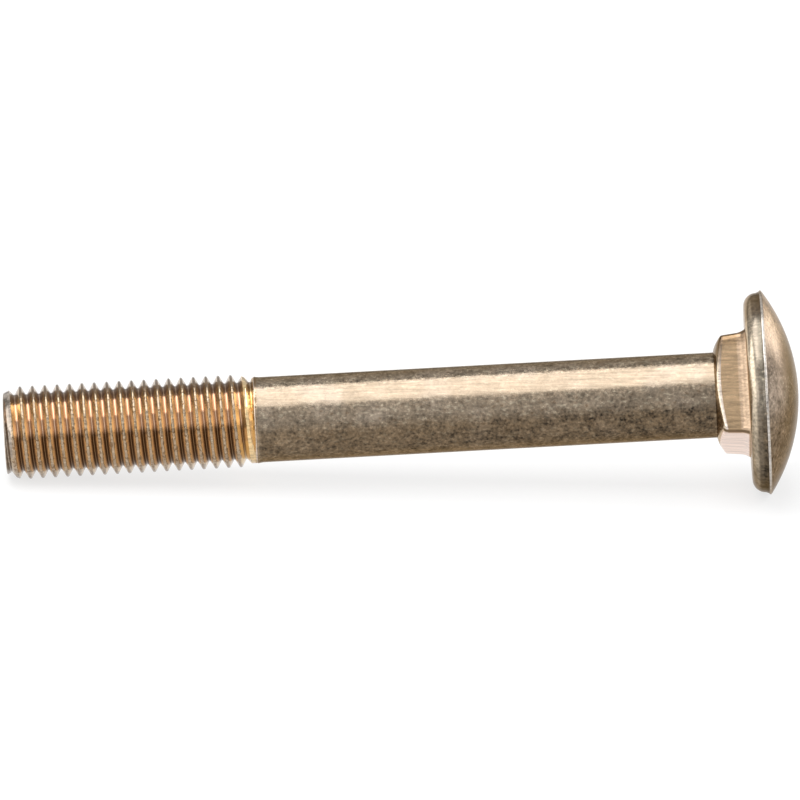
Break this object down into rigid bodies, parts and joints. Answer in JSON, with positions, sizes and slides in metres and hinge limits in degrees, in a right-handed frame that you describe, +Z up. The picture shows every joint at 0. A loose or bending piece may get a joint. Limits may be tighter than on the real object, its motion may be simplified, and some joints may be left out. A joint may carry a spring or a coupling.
{
  "type": "carriage bolt",
  "caption": "Steel carriage bolt with a domed head, square neck, plain shank and coarse right-hand thread, yellow zinc plated, lying at rest.",
  "frame": {"origin": "on the resting surface, below the middle of the lying bolt", "axes": "+Z up from the resting surface, +X from the tip towards the head, +Y away from the front"},
  "size_m": [0.163, 0.042, 0.0418],
  "materials": {
    "plated_steel": "satin yellow zinc plating"
  },
  "bodies": {
    "root": {"bolt": "plated_steel"}
  },
  "joints": []
}
